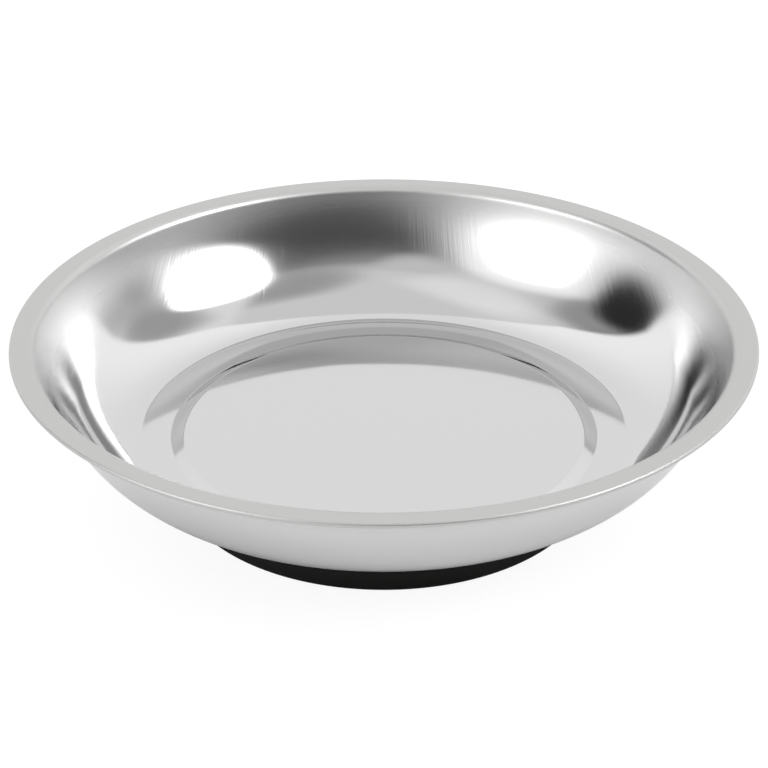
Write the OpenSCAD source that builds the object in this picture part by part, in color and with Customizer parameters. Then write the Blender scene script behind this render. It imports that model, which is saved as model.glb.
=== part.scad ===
// Round magnetic parts tray: a pressed stainless dish on a rubber-booted ring magnet.
// Millimetres. The origin is the middle of the face that rests on the bench, and +Z is up.

/* [Dish] */
// Diameter over the hemmed rim
rim_d = 150; // [140:1:170]
// Thickness of the stainless sheet
sheet_t = 0.5; // [0.4:0.05:0.8]
// Width of the flat flange, from the bend into the bowl to the outer edge
flange_w = 3.3; // [3:0.1:6]
// Radius of the bend from the flange into the bowl, on the upper face
lip_bend_r = 2; // [1.2:0.1:3]
// How far the rim's edge is folded back under the flange
hem_w = 2.6; // [1.8:0.1:3]
// Air between the two leaves of the hem
hem_gap = 0.1; // [0.05:0.05:0.3]
// Radius of the bend from the floor ring into the wall, on the upper face
foot_bend_r = 6; // [2:0.1:8]
// Slope of the bowl's wall where it leaves the floor, in degrees
wall_foot_a = 19; // [15:1:26]
// Slope of the bowl's wall where it reaches the bend under the flange, in degrees
wall_top_a = 72; // [68:1:76]
// Depth of the floor below the top of the rim
floor_depth = 23.9; // [20:0.1:28]
// Width of the flat floor ring between the wall and the step
ring_w = 7.3; // [6:0.1:10]
// Height of the raised centre above the floor ring
step_h = 1; // [0.8:0.1:1.6]
// Width of the sloping step, seen from above
step_run = 2.8; // [2:0.1:3.5]
// Radius of the step's two pressed folds, on their hollow side
fold_r = 1.5; // [0.6:0.1:2]

/* [Magnet and backing plate] */
// Outer diameter of the ferrite ring
magnet_d = 80; // [72:1:88]
// Bore of the ferrite ring
magnet_bore = 32; // [30:1:40]
// Thickness of the ferrite ring
magnet_t = 8; // [7:0.5:12]
// Ground chamfer on the edges of the ferrite ring
magnet_chamfer = 0.6; // [0.2:0.1:1]
// Thickness of the steel backing plate
plate_t = 2; // [1.8:0.1:3]
// How far the backing plate's edge lies inside the ferrite ring's edge
plate_inset = 1; // [0.5:0.1:3]
// Broken edge of the punched backing plate
plate_edge = 0.3; // [0.1:0.1:0.5]
// How far the dish's raised centre reaches past the ferrite ring's edge
centre_margin = 1; // [0.5:0.1:1.6]

/* [Rubber boot] */
// Thickness of the boot's side wall
boot_wall_t = 2.3; // [1.6:0.1:3]
// Thickness of the boot's floor, under the magnet
boot_floor_t = 1.9; // [1.5:0.1:3]
// How much the boot's side leans in towards its top
boot_draft = 0.6; // [0:0.1:1]
// Radius of the rounded edge that rests on the bench
boot_edge_r = 0.8; // [0.4:0.1:1.5]
// Thickness of the wall round the nut pocket
pocket_wall_t = 1.8; // [1.2:0.1:2.5]
// Thickness of the pocket's roof, which the nut clamps
pocket_roof_t = 1.6; // [1.2:0.1:2]
// Radius of the rounded corners of the pocket
pocket_edge_r = 0.7; // [0.3:0.1:1]

/* [Stud, washers and nut] */
// Diameter of the threaded stud
stud_d = 5; // [4:1:6]
// Diameter of the stud's welding flange
stud_flange_d = 7; // [6.5:0.1:9]
// Thickness of the stud's welding flange
stud_flange_t = 0.8; // [0.5:0.1:1]
// Length of the stud that stands past the nut
stud_proud = 0.7; // [0.3:0.1:1]
// Chamfer on the end of the stud
stud_chamfer = 0.5; // [0.2:0.1:0.8]
// Outer diameter of the flat washer
washer_d = 15; // [12:0.5:18]
// Thickness of the flat washer
washer_t = 1.2; // [1:0.1:1.4]
// Outer diameter of the spring washer
spring_d = 9.2; // [8:0.1:11]
// Thickness of the spring washer
spring_t = 1.2; // [1:0.1:1.4]
// Width of the slit through the spring washer
spring_slit = 0.7; // [0.3:0.1:1]
// Lean of the slit, in degrees
spring_lean = 20; // [10:1:30]
// Width of the nut across its flats
nut_af = 8; // [7:0.5:10]
// Height of the nut
nut_h = 4; // [3:0.1:4.5]

/* [Clearances] */
// Slack of the rubber boot round the magnet
boot_clear = 0.2; // [0.1:0.05:0.3]
// Gap between the boot's top edge and the underside of the dish
seat_gap = 0.2; // [0.1:0.05:0.3]
// Slack of a hole round the stud, or round its flange, on the radius
hole_clear = 0.2; // [0.1:0.05:0.4]
// Slack of the nut's bore round the stud, on the radius
thread_clear = 0.05; // [0.02:0.01:0.1]

/* [Hidden] */
$fn = 96;
// Cuts run past the faces that they open by this much
overrun = 1;
// Steps in a small bend, in the hem's fold and in each of the wall's two arcs
bend_steps = 6;
hem_steps = 10;
wall_steps = 16;
hex_sides = 6;
// Angle of the chamfer on the nut's corners
nut_chamfer_a = 30;
quarter_turn = 90;

steel_bright = [0.80, 0.80, 0.79];
steel_zinc = [0.66, 0.67, 0.69];
ferrite_grey = [0.23, 0.23, 0.25];
rubber_black = [0.11, 0.11, 0.10];

// Levels of the stack, from the bench up
magnet_z = boot_floor_t;
plate_z = magnet_z + magnet_t;
seat_z = plate_z + plate_t;
centre_z = seat_z + sheet_t;
ring_z = centre_z - step_h;
rim_z = ring_z + floor_depth;
ring_under_z = ring_z - sheet_t;

// Radii of the dish, from the axis out
rim_r = rim_d / 2;
centre_r = magnet_d / 2 + centre_margin;
step_r = centre_r + step_run;
floor_r = step_r + ring_w;
step_a = atan2(step_h, step_run);
// How far a sloping fold's corner moves inwards on the underside of the sheet
fold_shift = sheet_t * tan(step_a / 2);

// The wall runs from its foot, at the floor's edge, to its head, on the bend under the flange
lip_c = [rim_r - flange_w, rim_z - lip_bend_r];
wall_foot = [floor_r, ring_z];
wall_head = lip_c + lip_bend_r * left_of(wall_top_a);
wall_span = wall_head - wall_foot;
// It is two arcs that meet in one slope, a tight one below and a wide one above. The straight
// tangents at foot and head are equally long, and they fix where the arcs meet.
end_dirs = along(wall_foot_a) + along(wall_top_a);
turn_loss = 1 - cos(wall_top_a - wall_foot_a);
tangent = (sqrt(pow(wall_span * end_dirs, 2) + 2 * turn_loss * wall_span * wall_span)
           - wall_span * end_dirs) / (2 * turn_loss);
wall_mid = wall_span - tangent * end_dirs;
wall_mid_a = atan2(wall_mid[1], wall_mid[0]);
low_r = tangent / tan((wall_mid_a - wall_foot_a) / 2);
high_r = tangent / tan((wall_top_a - wall_mid_a) / 2);
low_c = wall_foot + low_r * left_of(wall_foot_a);
high_c = wall_head + high_r * left_of(wall_top_a);
// The bend between floor and wall touches both the flat floor and the wall's lower circle
crease_drop = low_c[1] - ring_z - foot_bend_r;
crease_c = [low_c[0] + sqrt(pow(low_r - foot_bend_r, 2) - pow(crease_drop, 2)),
            ring_z + foot_bend_r];
crease_a = atan2(crease_c[0] - low_c[0], crease_drop);
// The hem turns right round on a bend that leaves hem_gap between its leaves
hem_r = sheet_t + hem_gap / 2;
// The two folds of the step, where the flats are shortened by the bends
convex_r = fold_r + sheet_t;
convex_back = convex_r * tan(step_a / 2);
concave_back = fold_r * tan(step_a / 2);

// Radii of the boot and its pocket
magnet_r = magnet_d / 2;
bore_r = magnet_bore / 2;
boot_in_r = magnet_r + boot_clear;
boot_r = boot_in_r + boot_wall_t;
boot_top_r = boot_r - boot_draft;
pocket_out_r = bore_r - boot_clear;
pocket_r = pocket_out_r - pocket_wall_t;
stud_r = stud_d / 2;
stud_hole_r = stud_r + hole_clear;

// Levels of the clamped stack in the pocket, from its roof down
roof_z = plate_z - pocket_roof_t;
washer_z = roof_z - washer_t;
spring_z = washer_z - spring_t;
nut_z = spring_z - nut_h;
stud_end_z = nut_z - stud_proud;

// The direction of slope a, and the direction square to it on its left
function along(a) = [cos(a), sin(a)];
function left_of(a) = [-sin(a), cos(a)];

// Points on a circle from angle a0 to angle a1
function arc(c, r, a0, a1, steps) =
    [for (i = [0 : steps]) let (a = a0 + (a1 - a0) * i / steps) c + r * along(a)];

// The list in the opposite order
function reversed(v) = [for (i = [len(v) - 1 : -1 : 0]) v[i]];

// Height of the dish's underside over the boot's top edge, at radius r
function underside_z(r) =
    min(seat_z, ring_under_z + max(0, step_r - fold_shift - r) * step_h / step_run);

// One face of the pressed sheet, from the axis out and round the hem, at depth t below the
// upper face. Bends that are hollow from above grow by t, and the others shrink by it.
function sheet_face(t) = concat(
    [[0, centre_z - t]],
    arc([centre_r - convex_back, centre_z - convex_r], convex_r - t,
        quarter_turn, quarter_turn - step_a, bend_steps),
    arc([step_r + concave_back, ring_z + fold_r], fold_r + t,
        3 * quarter_turn - step_a, 3 * quarter_turn, bend_steps),
    arc(crease_c, foot_bend_r + t, 3 * quarter_turn, 3 * quarter_turn + crease_a, bend_steps),
    arc(low_c, low_r + t, 3 * quarter_turn + crease_a, 3 * quarter_turn + wall_mid_a, wall_steps),
    arc(high_c, high_r + t, 3 * quarter_turn + wall_mid_a, 3 * quarter_turn + wall_top_a,
        wall_steps),
    arc(lip_c, lip_bend_r - t, quarter_turn + wall_top_a, quarter_turn, bend_steps),
    arc([rim_r - hem_r, rim_z - hem_r], hem_r - t, quarter_turn, -quarter_turn, hem_steps),
    [[rim_r - hem_w, rim_z - 2 * hem_r + t]]);

// A ring of rectangular section, with its four edges broken by a chamfer
module chamfered_ring(r_in, r_out, z, h, c) {
    translate([0, 0, z])
        rotate_extrude()
            polygon([[r_in + c, 0], [r_out - c, 0], [r_out, c], [r_out, h - c],
                     [r_out - c, h], [r_in + c, h], [r_in, h - c], [r_in, c]]);
}

// The pressed dish: raised centre, step, floor ring, curved wall, flange and hem in one sheet
module dish() {
    color(steel_bright)
        rotate_extrude()
            polygon(concat(sheet_face(0), reversed(sheet_face(sheet_t))));
}

// The flanged stud that is welded under the middle of the dish
module weld_stud() {
    flange_r = stud_flange_d / 2;
    color(steel_zinc)
        rotate_extrude()
            polygon([[0, stud_end_z], [stud_r - stud_chamfer, stud_end_z],
                     [stud_r, stud_end_z + stud_chamfer], [stud_r, seat_z - stud_flange_t],
                     [flange_r, seat_z - stud_flange_t], [flange_r, seat_z], [0, seat_z]]);
}

// The punched steel disc that seats in the recess under the raised centre
module backing_plate() {
    color(steel_zinc)
        chamfered_ring(stud_flange_d / 2 + hole_clear, magnet_r - plate_inset, plate_z, plate_t,
                       plate_edge);
}

// The sintered ferrite ring that the backing plate carries
module ring_magnet() {
    color(ferrite_grey)
        chamfered_ring(bore_r, magnet_r, magnet_z, magnet_t, magnet_chamfer);
}

// The moulded boot: floor, leaning side wall, bevelled top edge and the pocket for the nut
module rubber_boot() {
    color(rubber_black)
        rotate_extrude()
            polygon(concat(
                [[stud_hole_r, plate_z], [stud_hole_r, roof_z]],
                arc([pocket_r - pocket_edge_r, roof_z - pocket_edge_r], pocket_edge_r,
                    quarter_turn, 0, bend_steps),
                arc([pocket_r + pocket_edge_r, pocket_edge_r], pocket_edge_r,
                    2 * quarter_turn, 3 * quarter_turn, bend_steps),
                arc([boot_r - boot_edge_r, boot_edge_r], boot_edge_r, -quarter_turn, 0, bend_steps),
                [[boot_top_r, underside_z(boot_top_r) - seat_gap],
                 [centre_r - fold_shift, seat_z - seat_gap],
                 [boot_in_r, seat_z - seat_gap],
                 [boot_in_r, boot_floor_t],
                 [pocket_out_r, boot_floor_t],
                 [pocket_out_r, plate_z]]));
}

// The wide washer that spreads the clamping load over the pocket's roof
module flat_washer() {
    color(steel_zinc)
        difference() {
            translate([0, 0, washer_z])
                cylinder(h = washer_t, d = washer_d);
            translate([0, 0, washer_z - overrun])
                cylinder(h = washer_t + 2 * overrun, r = stud_hole_r);
        }
}

// The split spring washer, drawn clamped flat, with its leaning slit
module spring_washer() {
    color(steel_zinc)
        difference() {
            translate([0, 0, spring_z])
                cylinder(h = spring_t, d = spring_d);
            translate([0, 0, spring_z - overrun])
                cylinder(h = spring_t + 2 * overrun, r = stud_hole_r);
            translate([0, 0, spring_z + spring_t / 2])
                rotate([spring_lean, 0, 0])
                    translate([0, -spring_slit / 2, -spring_t])
                        cube([spring_d, spring_slit, 2 * spring_t]);
        }
}

// The hexagon nut, with the corners of both faces chamfered
module hex_nut() {
    corner_r = nut_af / 2 / cos(quarter_turn / 3);
    chamfer_h = (corner_r - nut_af / 2) * tan(nut_chamfer_a);
    color(steel_zinc)
        translate([0, 0, nut_z])
            difference() {
                intersection() {
                    cylinder(h = nut_h, r = corner_r, $fn = hex_sides);
                    rotate_extrude()
                        polygon([[0, 0], [nut_af / 2, 0], [corner_r, chamfer_h],
                                 [corner_r, nut_h - chamfer_h], [nut_af / 2, nut_h], [0, nut_h]]);
                }
                translate([0, 0, -overrun])
                    cylinder(h = nut_h + 2 * overrun, r = stud_r + thread_clear);
            }
}

dish();
weld_stud();
backing_plate();
ring_magnet();
rubber_boot();
flat_washer();
spring_washer();
hex_nut();
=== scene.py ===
"""Round magnetic parts tray: a pressed stainless dish on a rubber-booted ring magnet.

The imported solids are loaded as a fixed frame. The dish, boot, stud, washers and nut are drawn again as
smooth surfaces with their bends, threads and finishes, and the tray stands on a pale studio floor.
"""
import math

import bpy
import numpy as np
from mathutils import Matrix, Vector


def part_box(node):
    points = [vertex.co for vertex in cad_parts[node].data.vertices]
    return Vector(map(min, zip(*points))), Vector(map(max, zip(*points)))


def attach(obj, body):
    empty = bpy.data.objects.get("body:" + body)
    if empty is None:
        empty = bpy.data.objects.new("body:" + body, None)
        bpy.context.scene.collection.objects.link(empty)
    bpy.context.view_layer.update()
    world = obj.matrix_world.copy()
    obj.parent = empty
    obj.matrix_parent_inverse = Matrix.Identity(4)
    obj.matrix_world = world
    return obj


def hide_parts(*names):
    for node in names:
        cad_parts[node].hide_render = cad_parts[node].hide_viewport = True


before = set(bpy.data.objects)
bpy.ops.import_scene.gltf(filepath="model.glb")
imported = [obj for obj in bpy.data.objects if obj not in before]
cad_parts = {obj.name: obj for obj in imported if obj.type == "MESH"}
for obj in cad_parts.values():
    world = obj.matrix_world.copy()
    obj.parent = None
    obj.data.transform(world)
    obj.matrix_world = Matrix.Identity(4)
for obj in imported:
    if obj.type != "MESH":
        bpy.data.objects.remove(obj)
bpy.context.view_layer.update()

bl_info = {
    "name": "Magnetic Parts Tray",
    "version": (1, 0, 0),
    "blender": (4, 5, 0),
    "location": "View3D > Sidebar > Tray",
    "description": "Builds the dressed tray, its finishes and its studio round the packed solids",
    "category": "Object",
}

MM = 0.001
BODY = "root"
TURN = 2.0 * math.pi
QUARTER = 0.5 * math.pi
SENSOR_MM = 36.0
WHITE = (1.0, 1.0, 1.0, 1.0)

# How finely the bends and turns are divided
FOLD_STEPS = 8
LOW_WALL_STEPS = 40
HIGH_WALL_STEPS = 30
LIP_STEPS = 12
HEM_STEPS = 16
BOOT_EDGE_STEPS = 10
WASHER_EDGE_STEPS = 4
CONE_STEPS = 8
THREAD_STEPS = 10
DISH_TURNS = 288
BOOT_TURNS = 192
FLOOR_TURNS = 128
SPLIT_TURNS = 120
WASHER_TURNS = 96
NUT_TURNS = 96
STUD_TURNS = 64

# Levels and radii that the frame gives
DISH_LO, DISH_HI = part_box("dish")
_, BOOT_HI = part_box("rubber_boot")
MAGNET_LO, MAGNET_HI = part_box("ring_magnet")
STUD_LO, STUD_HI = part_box("weld_stud")
WASHER_LO, WASHER_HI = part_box("flat_washer")
SPRING_LO, SPRING_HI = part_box("spring_washer")
NUT_LO, NUT_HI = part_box("hex_nut")


# Settings that a user would change


def length(label, words, metres):
    """A property for a length in metres."""
    return bpy.props.FloatProperty(name=label, description=words, default=metres, unit="LENGTH",
                                   subtype="DISTANCE", min=0.0, precision=5)


def angle(label, words, degrees):
    """A property for an angle, written in degrees."""
    return bpy.props.FloatProperty(name=label, description=words, default=math.radians(degrees),
                                   unit="ROTATION", subtype="ANGLE")


def colour(label, words, hex_colour):
    """A property for an sRGB hex colour."""
    return bpy.props.StringProperty(name=label, description=words, default=hex_colour)


def amount(label, words, value):
    """A property for a plain number without a unit."""
    return bpy.props.FloatProperty(name=label, description=words, default=value)


class TrayDish(bpy.types.PropertyGroup):
    """Sizes and colours of the pressed dish."""
    sheet: length("Sheet", "Thickness of the stainless sheet", 0.5 * MM)
    flange: length("Flange", "Flat width of the rim, up to the bend into the bowl", 3.3 * MM)
    lip_bend: length("Lip bend", "Radius of the bend from the rim into the bowl", 2.0 * MM)
    hem: length("Hem", "How far the rim's edge is folded back under", 2.6 * MM)
    hem_gap: length("Hem gap", "Air between the leaves of the hem", 0.1 * MM)
    wall_foot: angle("Wall foot", "Slope of the wall where it leaves the floor", 19.0)
    wall_top: angle("Wall top", "Slope of the wall where it reaches the rim's bend", 72.0)
    depth: length("Depth", "From the top of the rim to the floor ring", 23.9 * MM)
    ring: length("Floor ring", "Flat width between the step and the wall", 7.3 * MM)
    foot_bend: length("Foot bend", "Radius of the bend from the floor ring into the wall", 6.0 * MM)
    step_height: length("Step height", "Rise of the centre above the floor ring", 1.0 * MM)
    step_run: length("Step run", "Width of the sloping step", 2.8 * MM)
    fold: length("Fold", "Radius of the step's folds on their hollow side", 1.5 * MM)
    margin: length("Centre margin", "Reach of the raised centre past the magnet", 1.0 * MM)
    grain_line: length("Grain line", "Spacing of the sheet's rolled grain", 0.55 * MM)
    grain_run: length("Grain run", "How far one line of the grain runs", 30.0 * MM)
    ripple: length("Ripple", "Size of the slow ripples that pressing leaves", 16.0 * MM)
    scratch_line: length("Scratch width", "Spacing of the hairlines that use leaves", 0.25 * MM)
    scratch_run: length("Scratch run", "How far one hairline runs", 9.0 * MM)
    scratch_turn: angle("Scratch turn", "Turn of the hairlines from the grain", 35.0)
    floor_grain: length("Floor grain", "Depth of the grain on the polished floor", 0.003 * MM)
    wall_grain: length("Wall grain", "Depth of the grain that drawing opens in the wall", 0.012 * MM)
    ripple_depth: length("Ripple depth", "Depth of the slow ripples", 0.02 * MM)
    polish: amount("Polish", "Roughness of the polished floor", 0.07)
    scratched: amount("Scratched", "Roughness of a hairline", 0.14)
    satin: amount("Satin", "Roughness of the upper wall", 0.26)
    opened: amount("Opened", "Roughness that the wall's sides and the rim have beyond that", 0.2)
    brushed: amount("Brushed", "How much the polish blurs across the rolled lines", 0.9)
    evened: amount("Evened", "What is left of that at the sides and on the rim", 0.2)
    steel: colour("Steel", "Colour of the polished sheet", "#D0D0D0")
    rim: colour("Rim", "Colour of the satin flange and hem", "#C3C3C2")


class TrayBoot(bpy.types.PropertyGroup):
    """Sizes and colours of the rubber boot."""
    draft: length("Draft", "How much the side leans in towards its top", 0.6 * MM)
    edge: length("Edge", "Radius of the rounded edge on the bench", 0.8 * MM)
    clear: length("Clearance", "Slack round the magnet", 0.2 * MM)
    pocket_wall: length("Pocket wall", "Thickness of the wall round the nut pocket", 1.8 * MM)
    pocket_edge: length("Pocket edge", "Radius of the pocket's rounded corners", 0.7 * MM)
    magnet_bore: length("Magnet bore", "Diameter of the hole in the magnet", 32.0 * MM)
    hole_clear: length("Hole clearance", "Slack of a hole round the stud", 0.2 * MM)
    seat_gap: length("Seat gap", "Gap between the top edge and the dish", 0.2 * MM)
    grain: length("Grain", "Size of the moulded rubber's fine grain", 0.6 * MM)
    rubber: colour("Rubber", "Colour of the moulded rubber", "#141312")


class TrayFasteners(bpy.types.PropertyGroup):
    """Sizes and colours of the stud, washers, nut, plate and magnet."""
    stud: length("Stud", "Diameter of the stud", 5.0 * MM)
    pitch: length("Pitch", "Pitch of the thread", 0.8 * MM)
    thread_depth: length("Thread depth", "Depth of the thread on the radius", 0.4 * MM)
    flange: length("Flange", "Thickness of the stud's welding flange", 0.8 * MM)
    chamfer: length("Chamfer", "Chamfer on the end of the stud", 0.5 * MM)
    thread_clear: length("Thread clearance", "Slack of the nut round the stud", 0.05 * MM)
    hole_clear: length("Hole clearance", "Slack of the washers round the stud", 0.2 * MM)
    broken_edge: length("Broken edge", "Rounding of the washers' edges", 0.15 * MM)
    slit: length("Slit", "Width of the spring washer's slit", 0.7 * MM)
    slit_lean: angle("Slit lean", "Lean of the spring washer's slit", 20.0)
    nut_chamfer: angle("Nut chamfer", "Angle of the chamfer on the nut's corners", 30.0)
    plating_mark: length("Plating mark", "Size of the cloudy marks in the plating", 1.5 * MM)
    sinter_grain: length("Sinter grain", "Size of the magnet's sintered grain", 0.4 * MM)
    zinc: colour("Zinc", "Colour of the zinc plating", "#B9BCC0")
    ferrite: colour("Ferrite", "Colour of the sintered magnet", "#3B3B3E")


class TrayStage(bpy.types.PropertyGroup):
    """The camera and the studio round the tray."""
    distance: length("Distance", "Camera to the middle of the rim", 0.5)
    elevation: angle("Elevation", "Camera above the rim's plane", 27.15)
    aim: length("Aim height", "Height on the tray's axis at the image centre", 22.6 * MM)
    roll: angle("Roll", "Turn of the camera about its view", -0.115)
    lens: amount("Lens", "Focal length in mm on a 36 mm sensor", 116.3)
    floor: length("Floor", "Radius of the floor", 5.657)
    stand: length("Stand", "Radius of the opening in the floor under the base", 41.7 * MM)
    shade_from: length("Shade from", "Radius where the floor's lift in the steel begins", 44.0 * MM)
    shade_to: length("Shade to", "Radius where that lift is full", 76.0 * MM)
    floor_steel: amount("Floor in the steel", "Share of the lift that the steel shows", 0.6)
    floor_eye: amount("Floor to the eye", "Share of the lift that the camera sees", 0.8)
    floor_glow: amount("Floor glow", "Brightness that the floor is lifted to", 1.12)
    floor_matt: colour("Floor colour", "Colour of the matt floor", "#E7E7E7")
    room: amount("Room", "Brightness of the unlit room round the camera", 0.2)
    ceiling: amount("Ceiling", "Brightness of the ceiling", 0.88)
    ceiling_from: angle("Ceiling from", "Elevation where the ceiling begins", 37.5)
    ceiling_to: angle("Ceiling to", "Elevation where it is at full brightness", 59.0)
    backdrop: amount("Backdrop", "Brightness of the white backdrop", 1.06)
    backdrop_rise: amount("Backdrop rise", "How much brighter its two ends are", 0.23)
    backdrop_turn: angle("Backdrop turn", "How far its middle is turned to the right", -2.0)
    backdrop_half: angle("Backdrop half width", "How far the backdrop reaches to each side", 63.0)
    backdrop_edge: angle("Backdrop edge", "Half the width of its soft side edges", 2.0)
    backdrop_lean: amount("Backdrop lean", "Run over rise of the line of sight to its upper edge", 0.3)
    rise_from: angle("Rise from", "How far to each side it starts to brighten", 20.0)
    rise_to: angle("Rise to", "How far to each side it is brightest", 58.0)


# Mesh building


def arc(centre, radius, start, end, steps):
    """Points on a circle in the (r, z) half plane, from angle start to angle end."""
    a = np.linspace(start, end, steps + 1)
    return np.column_stack((centre[0] + radius * np.cos(a), centre[1] + radius * np.sin(a)))


def along(slope):
    """The direction of a slope in the (r, z) half plane."""
    return np.array((math.cos(slope), math.sin(slope)))


def left_of(slope):
    """The direction square to a slope, on its left."""
    return np.array((-math.sin(slope), math.cos(slope)))


def supported(outline, reach=0.03 * MM):
    """The outline with two more points close to the ends of each long straight.

    They keep the shading of a flat face flat right up to the bend beside it. A chord of a bend is short
    and gets none."""
    long_run = 60.0 * reach
    run = np.diff(outline, axis=0)
    far = np.linalg.norm(run, axis=1, keepdims=True)
    step = run * reach / np.maximum(far, reach)
    keep = np.repeat(far > long_run, 3, axis=1)
    keep[:, 0] = True
    points = np.stack((outline[:-1], outline[:-1] + step, outline[1:] - step), axis=1)
    return np.vstack((points[keep], outline[-1:]))


def grid_faces(rows, cols, close_rows):
    """Quads of a grid whose columns close on themselves, as vertex numbers."""
    last = rows if close_rows else rows - 1
    i, j = np.meshgrid(np.arange(last), np.arange(cols), indexing="ij")
    i2, j2 = (i + 1) % rows, (j + 1) % cols
    return np.stack((i * cols + j, i * cols + j2, i2 * cols + j2, i2 * cols + j), axis=-1).reshape(-1, 4)


def make_piece(name, points, faces, sharp=40.0):
    """A smooth-shaded object from points and faces, with edges over the sharp angle kept crisp."""
    mesh = bpy.data.meshes.new(name)
    mesh.from_pydata(points.tolist(), [], [f.tolist() for f in faces])
    mesh.polygons.foreach_set("use_smooth", np.ones(len(mesh.polygons), dtype=bool))
    mesh.set_sharp_from_angle(angle=math.radians(sharp))
    mesh.update()
    obj = bpy.data.objects.new(name, mesh)
    bpy.context.collection.objects.link(obj)
    return obj


def turned(name, radius, height, sharp=40.0):
    """A closed surface about the tray's axis from a grid of radii and heights, rows by turns.

    The rows run anticlockwise round the section, so the faces point outwards. Where the first and the
    last row have no radius they become poles, and otherwise the rows close on themselves."""
    rows, cols = radius.shape
    phi = np.linspace(0.0, TURN, cols, endpoint=False)
    points = np.stack((radius * np.cos(phi), radius * np.sin(phi), height), axis=-1)
    if radius[0].max() > 0.0:
        return make_piece(name, points.reshape(-1, 3), list(grid_faces(rows, cols, True)), sharp)
    rings = points[1:-1].reshape(-1, 3)
    j = np.arange(cols)
    j2 = (j + 1) % cols
    low, high, top = len(rings), len(rings) + 1, (rows - 3) * cols
    faces = list(grid_faces(rows - 2, cols, False))
    faces += list(np.column_stack((np.full(cols, low), j2, j)))
    faces += list(np.column_stack((np.full(cols, high), top + j, top + j2)))
    return make_piece(name, np.vstack((rings, points[0, :1], points[-1, :1])), faces, sharp)


def lathe(name, outline, turns, sharp=40.0):
    """A surface of revolution: each outline point (r, z) becomes a ring about the tray's axis."""
    radius = np.repeat(outline[:, :1], turns, axis=1)
    height = np.repeat(outline[:, 1:], turns, axis=1)
    return turned(name, radius, height, sharp)


def dress(obj, node, material):
    """Puts a new piece in the place of a CAD node, with its body and its material."""
    obj.data.materials.append(material)
    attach(obj, BODY)
    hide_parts(node)


def paint(node, material):
    """Gives a CAD node that stays in view its material."""
    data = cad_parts[node].data
    data.materials.clear()
    data.materials.append(material)


# Material building


def linear(hex_colour):
    """The linear RGBA of an sRGB hex colour."""
    srgb = np.array([int(hex_colour[i:i + 2], 16) for i in (1, 3, 5)]) / 255.0
    rgb = np.where(srgb <= 0.04045, srgb / 12.92, ((srgb + 0.055) / 1.055) ** 2.4)
    return (*rgb.tolist(), 1.0)


def add(tree, kind, inputs=None, **settings):
    """Adds a node, sets it up, and links or fills its inputs. Returns the node."""
    node = tree.nodes.new(kind)
    for name, value in settings.items():
        setattr(node, name, value)
    for socket, value in (inputs or {}).items():
        if isinstance(value, bpy.types.NodeSocket):
            tree.links.new(value, node.inputs[socket])
        else:
            node.inputs[socket].default_value = value
    return node


def blank_material(name):
    """A new material with an empty node tree."""
    material = bpy.data.materials.new(name)
    material.use_nodes = True
    material.node_tree.nodes.clear()
    return material, material.node_tree


# Where the steel's finishes begin and end: the peaks of a noise that are kept as hairlines, shares of the
# dish's depth up the wall, distances inside the flange, and squares of the turn towards the two sides
HAIR_FROM, HAIR_TO = 0.66, 0.74
SATIN_FROM = 0.35
GRAIN_FROM, GRAIN_TO = 0.15, 0.55
RIM_FROM, RIM_TO = 3.4 * MM, 0.6 * MM
SIDE_FROM, SIDE_TO = 0.45, 0.9


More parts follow.
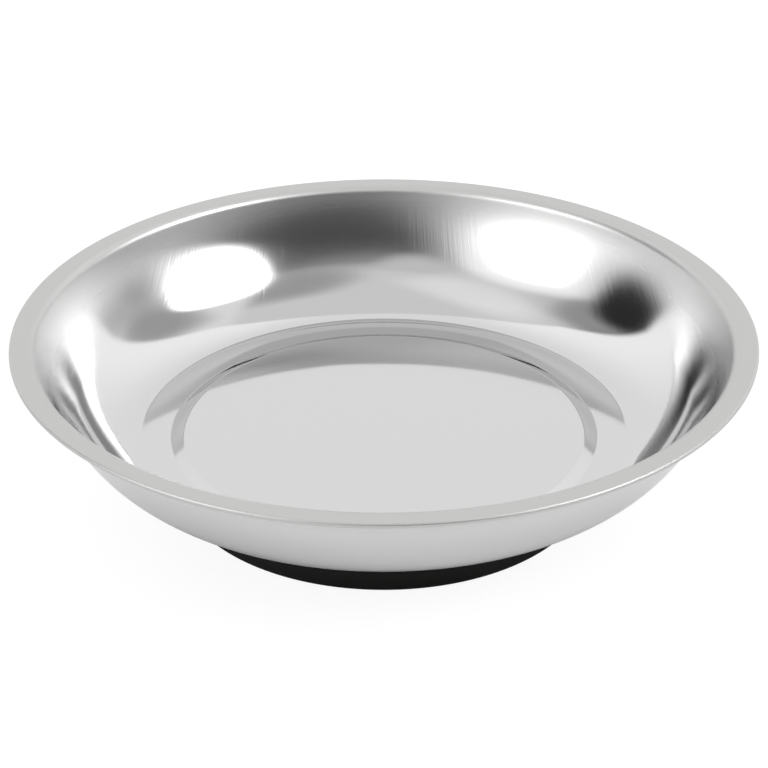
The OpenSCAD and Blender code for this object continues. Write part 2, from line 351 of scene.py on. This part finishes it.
def stainless_sheet(dish):
    """Cold-rolled 18/8 stainless sheet, deep drawn and then polished.

    It is a near mirror on the floor and turns satin towards the rim. The rolling leaves fine straight
    lines, which break the edges of a reflection into streaks and blur it across them, the press
    leaves slow ripples, and use leaves hairline scratches on the floor."""
    material, tree = blank_material("polished_stainless_sheet")
    where = add(tree, "ShaderNodeTexCoord").outputs["Object"]
    height = add(tree, "ShaderNodeSeparateXYZ", {0: where}).outputs["Z"]
    flat = add(tree, "ShaderNodeVectorMath", {0: where, 1: (1.0, 1.0, 0.0)},
               operation="MULTIPLY").outputs[0]
    radius = add(tree, "ShaderNodeVectorMath", {0: flat}, operation="LENGTH").outputs["Value"]
    ring_z = DISH_HI.z - dish.depth

    # Rolled grain: lines along Y in the flat blank, where the wall lay further out by half its height.
    # Real lines are finer than a pixel, so they are drawn as coarse as they need to be to show
    rise = add(tree, "ShaderNodeMath", {0: height, 1: ring_z}, operation="SUBTRACT").outputs[0]
    share = add(tree, "ShaderNodeMath", {0: rise, 1: radius}, operation="DIVIDE").outputs[0]
    spread = add(tree, "ShaderNodeMath", {0: share, 1: 0.5, 2: 1.0}, operation="MULTIPLY_ADD").outputs[0]
    blank = add(tree, "ShaderNodeVectorMath", {0: flat, "Scale": spread}, operation="SCALE").outputs[0]
    pace = (1.0 / dish.grain_line, 1.0 / dish.grain_run, 0.0)
    rolled = add(tree, "ShaderNodeVectorMath", {0: blank, 1: pace}, operation="MULTIPLY").outputs[0]
    lines = add(tree, "ShaderNodeTexNoise", {"Vector": rolled, "Scale": 1.0, "Detail": 2.0}).outputs["Fac"]
    # Hairlines: a stretched noise, turned askew to the grain, of which only the thin peaks are kept
    askew = add(tree, "ShaderNodeMapping", {"Vector": flat, "Rotation": (0.0, 0.0, dish.scratch_turn),
                                            "Scale": (1.0 / dish.scratch_line, 1.0 / dish.scratch_run, 0.0)})
    hairs = add(tree, "ShaderNodeTexNoise", {"Vector": askew.outputs[0], "Scale": 1.0, "Detail": 1.0})
    worn = add(tree, "ShaderNodeMapRange", {"Value": hairs.outputs["Fac"], "From Min": HAIR_FROM,
                                            "From Max": HAIR_TO, "To Min": dish.polish,
                                            "To Max": dish.scratched}).outputs[0]
    # The wall gets its polish from the floor up, so towards the rim it keeps the rolled satin
    satin = add(tree, "ShaderNodeMapRange", {"Value": rise, "From Min": SATIN_FROM * dish.depth,
                                             "From Max": dish.depth},
                interpolation_type="SMOOTHSTEP").outputs[0]
    rim_r = DISH_HI.x - dish.flange
    rim = add(tree, "ShaderNodeMapRange", {"Value": radius, "From Min": rim_r - RIM_FROM,
                                           "From Max": rim_r - RIM_TO}).outputs[0]
    drawn = add(tree, "ShaderNodeMapRange", {"Value": rise, "From Min": GRAIN_FROM * dish.depth,
                                             "From Max": GRAIN_TO * dish.depth,
                                             "To Min": dish.floor_grain,
                                             "To Max": dish.wall_grain}).outputs[0]
    depth = add(tree, "ShaderNodeMix", {0: rim, 2: drawn, 3: 0.0}).outputs[0]
    grained = add(tree, "ShaderNodeBump", {"Height": lines, "Strength": 1.0,
                                           "Distance": depth}).outputs[0]
    slow = add(tree, "ShaderNodeTexNoise", {"Vector": where, "Scale": 1.0 / dish.ripple, "Detail": 1.0})
    rippled = add(tree, "ShaderNodeBump", {"Height": slow.outputs["Fac"], "Strength": 1.0,
                                           "Distance": dish.ripple_depth, "Normal": grained}).outputs[0]
    wall = add(tree, "ShaderNodeMix", {0: satin, 2: worn, 3: dish.satin}).outputs[0]
    # Where the rolled lines run round the wall, at its two sides, drawing has opened them more
    crossways = add(tree, "ShaderNodeSeparateXYZ", {0: flat}).outputs["X"]
    sideways = add(tree, "ShaderNodeMath", {0: crossways, 1: radius}, operation="DIVIDE").outputs[0]
    squared = add(tree, "ShaderNodeMath", {0: sideways, 1: sideways}, operation="MULTIPLY").outputs[0]
    side = add(tree, "ShaderNodeMapRange", {"Value": squared, "From Min": SIDE_FROM,
                                            "From Max": SIDE_TO}).outputs[0]
    opened = add(tree, "ShaderNodeMath", {0: side, 1: satin}, operation="MULTIPLY").outputs[0]
    coarse = add(tree, "ShaderNodeMath", {0: opened, 1: rim}, operation="MAXIMUM").outputs[0]
    rough = add(tree, "ShaderNodeMath", {0: coarse, 1: dish.opened, 2: wall},
                operation="MULTIPLY_ADD").outputs[0]
    # Along the rolled lines the steel is smoother than across them, which is along X
    across = add(tree, "ShaderNodeCombineXYZ", {"X": 1.0}).outputs[0]
    brushed = add(tree, "ShaderNodeMix", {0: coarse, 2: dish.brushed, 3: dish.evened}).outputs[0]
    tint = add(tree, "ShaderNodeMix", {0: rim, 6: linear(dish.steel), 7: linear(dish.rim)},
               data_type="RGBA").outputs[2]
    shader = add(tree, "ShaderNodeBsdfPrincipled", {
        "Base Color": tint, "Metallic": 1.0, "Roughness": rough, "Normal": rippled,
        "Anisotropic": brushed, "Tangent": across})
    add(tree, "ShaderNodeOutputMaterial", {"Surface": shader.outputs[0]})
    return material


def moulded_rubber(boot):
    """Black moulded rubber from a lightly blasted tool: a dull sheen with a fine even grain.

    The grain is drawn coarser than a blasted tool leaves it, so that it shows."""
    material, tree = blank_material("black_moulded_rubber")
    where = add(tree, "ShaderNodeTexCoord").outputs["Object"]
    grain = add(tree, "ShaderNodeTexNoise", {"Vector": where, "Scale": 1.0 / boot.grain, "Detail": 3.0})
    bump = add(tree, "ShaderNodeBump", {"Height": grain.outputs["Fac"], "Strength": 0.6,
                                        "Distance": 0.03 * MM})
    rough = add(tree, "ShaderNodeMapRange", {"Value": grain.outputs["Fac"], "To Min": 0.40, "To Max": 0.62})
    shader = add(tree, "ShaderNodeBsdfPrincipled", {
        "Base Color": linear(boot.rubber), "Roughness": rough.outputs[0], "IOR": 1.5,
        "Specular IOR Level": 0.2, "Normal": bump.outputs[0]})
    add(tree, "ShaderNodeOutputMaterial", {"Surface": shader.outputs[0]})
    return material


def zinc_plating(parts):
    """Bright zinc plating on mild steel: a blue-grey metal with cloudy patches and a soft gloss."""
    material, tree = blank_material("bright_zinc_plate")
    where = add(tree, "ShaderNodeTexCoord").outputs["Object"]
    cloud = add(tree, "ShaderNodeTexNoise", {"Vector": where, "Scale": 1.0 / parts.plating_mark,
                                             "Detail": 4.0})
    rough = add(tree, "ShaderNodeMapRange", {"Value": cloud.outputs["Fac"], "To Min": 0.22, "To Max": 0.45})
    bump = add(tree, "ShaderNodeBump", {"Height": cloud.outputs["Fac"], "Strength": 0.4,
                                        "Distance": 0.02 * MM})
    shader = add(tree, "ShaderNodeBsdfPrincipled", {
        "Base Color": linear(parts.zinc), "Metallic": 1.0, "Roughness": rough.outputs[0],
        "Normal": bump.outputs[0]})
    add(tree, "ShaderNodeOutputMaterial", {"Surface": shader.outputs[0]})
    return material


def sintered_ferrite(parts):
    """Hard ferrite, sintered and ground: charcoal, dull, with a fine speckle."""
    material, tree = blank_material("sintered_ferrite")
    where = add(tree, "ShaderNodeTexCoord").outputs["Object"]
    speckle = add(tree, "ShaderNodeTexNoise", {"Vector": where, "Scale": 1.0 / parts.sinter_grain,
                                               "Detail": 4.0})
    rough = add(tree, "ShaderNodeMapRange", {"Value": speckle.outputs["Fac"], "To Min": 0.5, "To Max": 0.8})
    bump = add(tree, "ShaderNodeBump", {"Height": speckle.outputs["Fac"], "Strength": 0.5,
                                        "Distance": 0.03 * MM})
    shader = add(tree, "ShaderNodeBsdfPrincipled", {
        "Base Color": linear(parts.ferrite), "Roughness": rough.outputs[0], "Normal": bump.outputs[0]})
    add(tree, "ShaderNodeOutputMaterial", {"Surface": shader.outputs[0]})
    return material


# The dish


def wall_arcs(foot, foot_a, head, head_a):
    """The two arcs of the wall, each as a centre and a radius, and the slope where they meet.

    The tangents at foot and head are t long, and the line between their far ends touches both arcs and is
    2 t long. So t solves 2 (1 - c) t t + 2 (span . ends) t = span . span, where c is the cosine of the
    turn, span goes from foot to head, and ends is the sum of the two end directions."""
    span = head - foot
    ends = along(foot_a) + along(head_a)
    loss = 1.0 - math.cos(head_a - foot_a)
    t = (math.sqrt((span @ ends) ** 2 + 2.0 * loss * (span @ span)) - span @ ends) / (2.0 * loss)
    middle = span - t * ends
    mid_a = math.atan2(middle[1], middle[0])
    low_r = t / math.tan((mid_a - foot_a) / 2.0)
    high_r = t / math.tan((head_a - mid_a) / 2.0)
    return foot + low_r * left_of(foot_a), low_r, head + high_r * left_of(head_a), high_r, mid_a


def dish_face(dish, t):
    """One face of the pressed sheet, from the axis out and round the hem, at depth t below the top.

    Flats and arcs meet tangentially. A bend that is hollow from above grows by t, another shrinks."""
    rim_r, rim_z = DISH_HI.x, DISH_HI.z
    ring_z = rim_z - dish.depth
    centre_z = ring_z + dish.step_height
    centre_r = MAGNET_HI.x + dish.margin
    step_r = centre_r + dish.step_run
    slope = math.atan2(dish.step_height, dish.step_run)
    convex = dish.fold + dish.sheet
    back = math.tan(slope / 2.0)
    lip = np.array((rim_r - dish.flange, rim_z - dish.lip_bend))
    foot = np.array((step_r + dish.ring, ring_z))
    head = lip + dish.lip_bend * left_of(dish.wall_top)
    low, low_r, high, high_r, mid_a = wall_arcs(foot, dish.wall_foot, head, dish.wall_top)
    drop = low[1] - ring_z - dish.foot_bend
    crease = (low[0] + math.sqrt((low_r - dish.foot_bend) ** 2 - drop ** 2), ring_z + dish.foot_bend)
    crease_a = math.atan2(crease[0] - low[0], drop)
    hem_r = dish.sheet + dish.hem_gap / 2.0
    down = 3.0 * QUARTER
    return np.vstack((
        [[0.0, centre_z - t]],
        arc((centre_r - convex * back, centre_z - convex), convex - t, QUARTER, QUARTER - slope,
            FOLD_STEPS),
        arc((step_r + dish.fold * back, ring_z + dish.fold), dish.fold + t, down - slope, down,
            FOLD_STEPS),
        arc(crease, dish.foot_bend + t, down, down + crease_a, FOLD_STEPS),
        arc(low, low_r + t, down + crease_a, down + mid_a, LOW_WALL_STEPS)[1:],
        arc(high, high_r + t, down + mid_a, down + dish.wall_top, HIGH_WALL_STEPS)[1:],
        arc(lip, dish.lip_bend - t, QUARTER + dish.wall_top, QUARTER, LIP_STEPS)[1:],
        arc((rim_r - hem_r, rim_z - hem_r), hem_r - t, QUARTER, -QUARTER, HEM_STEPS),
        [[rim_r - dish.hem, rim_z - 2.0 * hem_r + t]]))


def dish_outline(dish):
    """The sheet's whole section: out along its underside, round the hem and back along its top."""
    return np.vstack((supported(dish_face(dish, dish.sheet)), supported(dish_face(dish, 0.0))[::-1]))


class TRAY_OT_dish(bpy.types.Operator):
    """Builds the pressed stainless dish"""
    bl_idname = "tray.dish"
    bl_label = "Dish"

    def execute(self, context):
        dish = context.scene.tray_dish
        piece = lathe("pressed_dish", dish_outline(dish), DISH_TURNS)
        dress(piece, "dish", stainless_sheet(dish))
        return {"FINISHED"}


# The boot


def boot_outline(boot, dish, parts):
    """The boot's section: pocket, resting face, leaning side, bevelled top edge and magnet seat."""
    top_z = MAGNET_HI.z
    roof_z = WASHER_HI.z
    hole_r = parts.stud / 2.0 + boot.hole_clear
    seat_r = boot.magnet_bore / 2.0 - boot.clear
    pocket_r = seat_r - boot.pocket_wall
    outer_r = BOOT_HI.x
    inner_r = MAGNET_HI.x + boot.clear
    upper_r = outer_r - boot.draft
    shift = dish.sheet * math.tan(math.atan2(dish.step_height, dish.step_run) / 2.0)
    step_r = MAGNET_HI.x + dish.margin + dish.step_run - shift
    bevel_z = DISH_LO.z + (step_r - upper_r) * dish.step_height / dish.step_run - boot.seat_gap
    bevel_r = MAGNET_HI.x + dish.margin - shift
    r = boot.pocket_edge
    return supported(np.vstack((
        [[hole_r, top_z], [hole_r, roof_z]],
        arc((pocket_r - r, roof_z - r), r, QUARTER, 0.0, FOLD_STEPS),
        arc((pocket_r + r, r), r, 2.0 * QUARTER, 3.0 * QUARTER, FOLD_STEPS),
        arc((outer_r - boot.edge, boot.edge), boot.edge, -QUARTER, 0.0, BOOT_EDGE_STEPS),
        [[upper_r, bevel_z], [bevel_r, BOOT_HI.z], [inner_r, BOOT_HI.z], [inner_r, MAGNET_LO.z],
         [seat_r, MAGNET_LO.z], [seat_r, top_z]])))


class TRAY_OT_boot(bpy.types.Operator):
    """Builds the moulded rubber boot"""
    bl_idname = "tray.boot"
    bl_label = "Rubber boot"

    def execute(self, context):
        scene = context.scene
        outline = boot_outline(scene.tray_boot, scene.tray_dish, scene.tray_fasteners)
        piece = lathe("moulded_boot", outline, BOOT_TURNS, sharp=30.0)
        dress(piece, "rubber_boot", moulded_rubber(scene.tray_boot))
        return {"FINISHED"}


# The magnet and its plate


class TRAY_OT_magnet(bpy.types.Operator):
    """Finishes the ring magnet and its backing plate, which the boot hides"""
    bl_idname = "tray.magnet"
    bl_label = "Magnet and plate"

    def execute(self, context):
        parts = context.scene.tray_fasteners
        paint("ring_magnet", sintered_ferrite(parts))
        paint("backing_plate", zinc_plating(parts))
        return {"FINISHED"}


# The fasteners


def thread_wave(turns, height, pitch):
    """How deep a thread is cut, from 0 at its crest to 1 at its root, along a right-hand helix.

    It is a triangle wave of the height less the helix's climb, with its crests and roots cut flat."""
    phase = np.mod(height / pitch - turns, 1.0)
    return np.clip(1.5 * np.abs(2.0 * phase - 1.0) - 0.25, 0.0, 1.0)


def stud_grid(parts):
    """Radii and heights of the stud: a chamfered threaded shank below a plain welding flange."""
    cols = STUD_TURNS
    stud_r = parts.stud / 2.0
    neck_z = STUD_HI.z - parts.flange
    rows = int((neck_z - STUD_LO.z) / parts.pitch * THREAD_STEPS)
    shank_z = np.linspace(STUD_LO.z, neck_z, rows)
    turns = np.linspace(0.0, 1.0, cols, endpoint=False)
    z = np.repeat(shank_z[:, None], cols, axis=1)
    chamfer = stud_r - parts.chamfer + np.minimum(z - STUD_LO.z, parts.chamfer)
    shank = np.minimum(stud_r - parts.thread_depth * thread_wave(turns[None], z, parts.pitch), chamfer)
    flange = np.array([[STUD_HI.x, neck_z], [STUD_HI.x, STUD_HI.z], [0.0, STUD_HI.z]])
    radius = np.vstack((np.zeros((1, cols)), shank, np.repeat(flange[:, :1], cols, axis=1)))
    height = np.vstack((z[:1], z, np.repeat(flange[:, 1:], cols, axis=1)))
    return radius, height


def nut_grid(parts):
    """Radii and heights of the nut: a hexagon cut by a chamfer cone at each end, and a threaded bore."""
    cols = NUT_TURNS
    turns = np.linspace(0.0, 1.0, cols, endpoint=False)
    flat_r = NUT_HI.y
    corner_r = flat_r / math.cos(math.pi / 6.0)
    sector = np.mod(turns * 6.0, 1.0) - 0.5
    hexagon = flat_r / np.cos(sector * TURN / 6.0)
    rise = np.linspace(0.0, (corner_r - flat_r) * math.tan(parts.nut_chamfer), CONE_STEPS)
    cone = flat_r + rise / math.tan(parts.nut_chamfer)
    cone_z = np.concatenate((NUT_LO.z + rise, NUT_HI.z - rise[::-1]))
    outer = np.minimum(hexagon[None], np.concatenate((cone, cone[::-1]))[:, None])
    rows = int((NUT_HI.z - NUT_LO.z) / parts.pitch * THREAD_STEPS)
    bore_z = np.linspace(NUT_HI.z, NUT_LO.z, rows)
    z = np.repeat(bore_z[:, None], cols, axis=1)
    bore_r = parts.stud / 2.0 + parts.thread_clear
    lead_in = bore_r - np.minimum(np.minimum(z - NUT_LO.z, NUT_HI.z - z), parts.thread_depth)
    cut = bore_r - parts.thread_depth * thread_wave(turns[None], z, parts.pitch)
    bore = np.maximum(np.maximum(cut, lead_in), bore_r - parts.thread_depth)
    return np.vstack((outer, bore)), np.vstack((np.repeat(cone_z[:, None], cols, axis=1), z))


def washer_outline(inner, outer, low, high, edge):
    """A washer's section: a rectangle with rounded corners."""
    steps = WASHER_EDGE_STEPS
    return supported(np.vstack((
        arc((inner + edge, low + edge), edge, 2.0 * QUARTER, 3.0 * QUARTER, steps),
        arc((outer - edge, low + edge), edge, -QUARTER, 0.0, steps),
        arc((outer - edge, high - edge), edge, 0.0, QUARTER, steps),
        arc((inner + edge, high - edge), edge, QUARTER, 2.0 * QUARTER, steps))))


def split_ring(name, outline, slit, lean, mid_z):
    """A washer's section carried round the axis from one side of a leaning slit to the other.

    At height z the slit's middle is turned by the lean, so each end face is a slanted plane."""
    cols = SPLIT_TURNS
    r, z = outline[:, :1], outline[:, 1:]
    middle = -np.arcsin(np.clip((z - mid_z) * math.tan(lean) / r, -1.0, 1.0))
    half = np.arcsin(np.clip(slit / (2.0 * r), -1.0, 1.0))
    share = np.linspace(0.0, 1.0, cols)
    phi = middle + half + (TURN - 2.0 * half) * share
    points = np.stack((r * np.cos(phi), r * np.sin(phi), np.repeat(z, cols, axis=1)), axis=-1)
    rows = len(outline)
    quads = grid_faces(rows, cols, True).reshape(rows, cols, 4)[:, :-1].reshape(-1, 4)
    ends = [np.arange(rows) * cols, (np.arange(rows) * cols + cols - 1)[::-1]]
    return make_piece(name, points.reshape(-1, 3), list(quads) + ends)


class TRAY_OT_fasteners(bpy.types.Operator):
    """Builds the welded stud, the washers and the nut in the boot's pocket"""
    bl_idname = "tray.fasteners"
    bl_label = "Stud, washers and nut"

    def execute(self, context):
        parts = context.scene.tray_fasteners
        plating = zinc_plating(parts)
        hole_r = parts.stud / 2.0 + parts.hole_clear
        edge = parts.broken_edge
        flat = washer_outline(hole_r, WASHER_HI.x, WASHER_LO.z, WASHER_HI.z, edge)
        split = washer_outline(hole_r, SPRING_HI.y, SPRING_LO.z, SPRING_HI.z, edge)
        split_z = (SPRING_LO.z + SPRING_HI.z) / 2.0
        stud = turned("threaded_stud", *stud_grid(parts), sharp=50.0)
        nut = turned("hexagon_nut", *nut_grid(parts), sharp=25.0)
        washer = lathe("wide_washer", flat, WASHER_TURNS)
        spring = split_ring("split_washer", split, parts.slit, parts.slit_lean, split_z)
        for piece, node in ((stud, "weld_stud"), (nut, "hex_nut"), (washer, "flat_washer"),
                            (spring, "spring_washer")):
            dress(piece, node, plating)
        return {"FINISHED"}


# The studio


# The lights and flats that stand round the tray: azimuth to the right from straight behind it,
# elevation, half width and half height in degrees, the soft share of the edge, and the brightness
LIGHT_PLAN = {
    "shade over the right front": (128.0, 58.5, 36.0, 13.0, 0.95, 0.47),
    "bounce on the left ceiling": (-111.0, 67.0, 52.0, 10.0, 0.95, 1.12),
    "low flat on the right": (53.0, 19.5, 79.0, 32.0, 0.85, 0.7),
    "pale flat on the right": (69.0, 39.0, 60.0, 22.0, 0.25, 1.06),
    "gap beside the pale flat": (73.5, 34.0, 15.5, 18.0, 0.9, 0.48),
    "bench edge on the right": (66.0, -2.0, 22.0, 9.0, 0.7, 1.1),
    "dark card over the camera": (167.0, 25.5, 54.0, 12.0, 0.95, 0.09),
    "bench edge on the left": (-93.0, 0.0, 39.0, 10.0, 0.4, 1.15),
    "skirt of the left softbox": (-122.0, -4.5, 40.0, 66.5, 0.95, 1.03),
    "grey above the black flag": (-79.0, 38.5, 14.0, 13.0, 0.95, 0.42),
    "black flag": (-77.5, 22.0, 12.5, 15.0, 0.7, 0.035),
    "corner of the ceiling": (-166.0, 49.0, 16.0, 7.0, 0.95, 0.78),
    "spill of the left softbox": (-123.5, 29.0, 28.0, 21.0, 0.5, 1.4),
    "left softbox": (-122.0, 27.5, 15.5, 12.0, 0.95, 4.5),
    "foot of the right softbox": (86.5, 12.5, 11.0, 8.5, 0.9, 0.38),
    "right softbox": (108.5, 36.5, 21.0, 15.5, 0.5, 6.0),
}
TOP_EDGE = 0.012  # how softly the backdrop ends above


def panel_mask(tree, azimuth, height, turn, lift, wide, tall, soft):
    """A mask that is 1 on a rounded panel of sky and falls to 0 over the soft share of its edge.

    It compares 1 with the squares of the distances from the panel's middle, in half sizes."""
    parts = []
    for value, centre, reach in ((azimuth, turn, wide), (height, lift, tall)):
        off = add(tree, "ShaderNodeMath", {0: value, 1: centre}, operation="SUBTRACT").outputs[0]
        near = add(tree, "ShaderNodeMath", {0: off, 1: math.pi, 2: -math.pi}, operation="WRAP").outputs[0]
        share = add(tree, "ShaderNodeMath", {0: near, 1: reach}, operation="DIVIDE").outputs[0]
        parts.append(add(tree, "ShaderNodeMath", {0: share, 1: share}, operation="MULTIPLY").outputs[0])
    total = add(tree, "ShaderNodeMath", {0: parts[0], 1: parts[1]}, operation="ADD").outputs[0]
    return add(tree, "ShaderNodeMapRange", {"Value": total, "From Min": 1.0 - soft, "From Max": 1.0 + soft,
                                            "To Min": 1.0, "To Max": 0.0},
               interpolation_type="SMOOTHSTEP").outputs[0]


def studio_world(stage):
    """A plain studio all round: a dim room under a pale ceiling, the lights and a tall white backdrop.

    Angles are taken from the direction of the ray: azimuth 0 is straight behind the tray."""
    world = bpy.data.worlds.new("studio")
    world.use_nodes = True
    tree = world.node_tree
    tree.nodes.clear()
    deg = math.radians
    ray = add(tree, "ShaderNodeTexCoord").outputs["Generated"]
    axes = add(tree, "ShaderNodeSeparateXYZ", {0: ray}).outputs
    azimuth = add(tree, "ShaderNodeMath", {0: axes["X"], 1: axes["Y"]}, operation="ARCTAN2").outputs[0]
    height = add(tree, "ShaderNodeMath", {0: axes["Z"]}, operation="ARCSINE").outputs[0]

    light = add(tree, "ShaderNodeMapRange", {"Value": height, "From Min": stage.ceiling_from,
                                             "From Max": stage.ceiling_to,
                                             "To Min": stage.room, "To Max": stage.ceiling},
                interpolation_type="SMOOTHSTEP").outputs[0]
    for turn, lift, wide, tall, soft, level in LIGHT_PLAN.values():
        mask = panel_mask(tree, azimuth, height, deg(turn), deg(lift), deg(wide), deg(tall), soft)
        light = add(tree, "ShaderNodeMix", {0: mask, 2: light, 3: level}).outputs[0]

    # The backdrop is a flat wall: it ends at an azimuth on each side and at a level line above
    off = add(tree, "ShaderNodeMath", {0: azimuth, 1: stage.backdrop_turn}, operation="SUBTRACT").outputs[0]
    sideways = add(tree, "ShaderNodeMath", {0: off}, operation="ABSOLUTE").outputs[0]
    half = stage.backdrop_half
    edge = stage.backdrop_edge
    across = add(tree, "ShaderNodeMapRange", {"Value": sideways, "From Min": half - edge,
                                              "From Max": half + edge, "To Min": 1.0, "To Max": 0.0},
                 interpolation_type="SMOOTHSTEP").outputs[0]
    below = add(tree, "ShaderNodeMath", {0: axes["Z"], 1: -stage.backdrop_lean, 2: axes["Y"]},
                operation="MULTIPLY_ADD").outputs[0]
    upright = add(tree, "ShaderNodeMapRange", {"Value": below, "From Min": -TOP_EDGE,
                                               "From Max": TOP_EDGE},
                  interpolation_type="SMOOTHSTEP").outputs[0]
    wall = add(tree, "ShaderNodeMath", {0: across, 1: upright}, operation="MULTIPLY").outputs[0]
    white = add(tree, "ShaderNodeMapRange", {"Value": sideways, "From Min": stage.rise_from,
                                             "From Max": stage.rise_to,
                                             "To Min": stage.backdrop,
                                             "To Max": stage.backdrop + stage.backdrop_rise},
                interpolation_type="SMOOTHSTEP").outputs[0]
    light = add(tree, "ShaderNodeMix", {0: wall, 2: light, 3: white}).outputs[0]

    path = add(tree, "ShaderNodeLightPath").outputs["Is Camera Ray"]
    seen = add(tree, "ShaderNodeMix", {0: path, 2: light, 3: 1.0}).outputs[0]
    glow = add(tree, "ShaderNodeBackground", {"Color": WHITE, "Strength": seen})
    add(tree, "ShaderNodeOutputWorld", {"Surface": glow.outputs[0]})
    return world


def studio_floor(stage):
    """The pale floor: a wide flat ring of matt white that keeps the tray's shadow.

    It is lifted to white for the eye and in the steel, where the lift fades out towards the base, so that
    the shade under the tray shows. From below it is clear, and it is open where the base stands, so that
    the underside can be looked at."""
    turns = np.linspace(0.0, TURN, FLOOR_TURNS, endpoint=False)
    circle = np.column_stack((np.cos(turns), np.sin(turns), np.zeros(FLOOR_TURNS)))
    points = np.vstack((circle * stage.floor, circle * stage.stand))
    floor = make_piece("studio_floor", points, list(grid_faces(2, FLOOR_TURNS, False)))
    material, tree = blank_material("white_studio_floor")
    path = add(tree, "ShaderNodeLightPath").outputs
    mirrored = add(tree, "ShaderNodeMath", {0: path["Is Glossy Ray"], 1: path["Is Transmission Ray"]},
                   operation="ADD").outputs[0]
    spot = add(tree, "ShaderNodeNewGeometry").outputs
    radius = add(tree, "ShaderNodeVectorMath", {0: spot["Position"]}, operation="LENGTH").outputs["Value"]
    fade = add(tree, "ShaderNodeMapRange", {"Value": radius, "From Min": stage.shade_from,
                                            "From Max": stage.shade_to,
                                            "To Max": stage.floor_steel}).outputs[0]
    share = add(tree, "ShaderNodeMath", {0: mirrored, 1: fade}, operation="MULTIPLY").outputs[0]
    lift = add(tree, "ShaderNodeMath", {0: path["Is Camera Ray"], 1: stage.floor_eye, 2: share},
               operation="MULTIPLY_ADD").outputs[0]
    matt = add(tree, "ShaderNodeBsdfDiffuse", {"Color": linear(stage.floor_matt)}).outputs[0]
    glow = add(tree, "ShaderNodeEmission", {"Color": WHITE, "Strength": stage.floor_glow}).outputs[0]
    top = add(tree, "ShaderNodeMixShader", {0: lift, 1: matt, 2: glow}).outputs[0]
    clear = add(tree, "ShaderNodeBsdfTransparent").outputs[0]
    both = add(tree, "ShaderNodeMixShader", {0: spot["Backfacing"], 1: top, 2: clear}).outputs[0]
    add(tree, "ShaderNodeOutputMaterial", {"Surface": both})
    floor.data.materials.append(material)


def studio_camera(stage):
    """The camera: set back from the middle of the rim, turned to the aim point on the tray's axis."""
    data = bpy.data.cameras.new("camera")
    data.sensor_fit = "HORIZONTAL"
    data.sensor_width = SENSOR_MM
    data.lens = stage.lens
    data.clip_start = 0.01
    data.clip_end = 20.0
    rim = Vector((0.0, 0.0, DISH_HI.z))
    back = Vector((0.0, -math.cos(stage.elevation), math.sin(stage.elevation)))
    place = rim + back * stage.distance
    view = (Vector((0.0, 0.0, stage.aim)) - place).normalized()
    turn = view.to_track_quat("-Z", "Y").to_matrix() @ Matrix.Rotation(stage.roll, 3, "Z")
    camera = bpy.data.objects.new("camera", data)
    camera.matrix_world = Matrix.Translation(place) @ turn.to_4x4()
    bpy.context.collection.objects.link(camera)
    bpy.context.scene.camera = camera


class TRAY_OT_stage(bpy.types.Operator):
    """Builds the floor, the studio's light and the camera"""
    bl_idname = "tray.stage"
    bl_label = "Stage"

    def execute(self, context):
        stage = context.scene.tray_stage
        studio_floor(stage)
        studio_camera(stage)
        context.scene.world = studio_world(stage)
        context.scene.view_settings.view_transform = "Standard"
        return {"FINISHED"}


class TRAY_PT_panel(bpy.types.Panel):
    """Lists the tray's builders and settings"""
    bl_idname = "TRAY_PT_panel"
    bl_label = "Parts tray"
    bl_space_type = "VIEW_3D"
    bl_region_type = "UI"
    bl_category = "Tray"

    def draw(self, context):
        for name, operators in SECTIONS.items():
            box = self.layout.box()
            group = getattr(context.scene, name)
            for key in type(group).__annotations__:
                box.prop(group, key)
            for operator in operators:
                box.operator(operator.bl_idname)


GROUPS = {"tray_dish": TrayDish, "tray_boot": TrayBoot, "tray_fasteners": TrayFasteners,
          "tray_stage": TrayStage}
SECTIONS = {"tray_dish": [TRAY_OT_dish], "tray_boot": [TRAY_OT_boot],
            "tray_fasteners": [TRAY_OT_magnet, TRAY_OT_fasteners], "tray_stage": [TRAY_OT_stage]}
OPERATORS = [operator for group in SECTIONS.values() for operator in group]


def register():
    """Registers the settings, the operators and the panel."""
    for name, group in GROUPS.items():
        bpy.utils.register_class(group)
        setattr(bpy.types.Scene, name, bpy.props.PointerProperty(type=group))
    for cls in (*OPERATORS, TRAY_PT_panel):
        bpy.utils.register_class(cls)


def unregister():
    """Removes what register added."""
    for cls in (TRAY_PT_panel, *reversed(OPERATORS)):
        bpy.utils.unregister_class(cls)
    for name, group in GROUPS.items():
        delattr(bpy.types.Scene, name)
        bpy.utils.unregister_class(group)


def main():
    register()
    bpy.ops.tray.stage()
    bpy.ops.tray.dish()
    bpy.ops.tray.boot()
    bpy.ops.tray.magnet()
    bpy.ops.tray.fasteners()


if __name__ == "__main__":
    main()
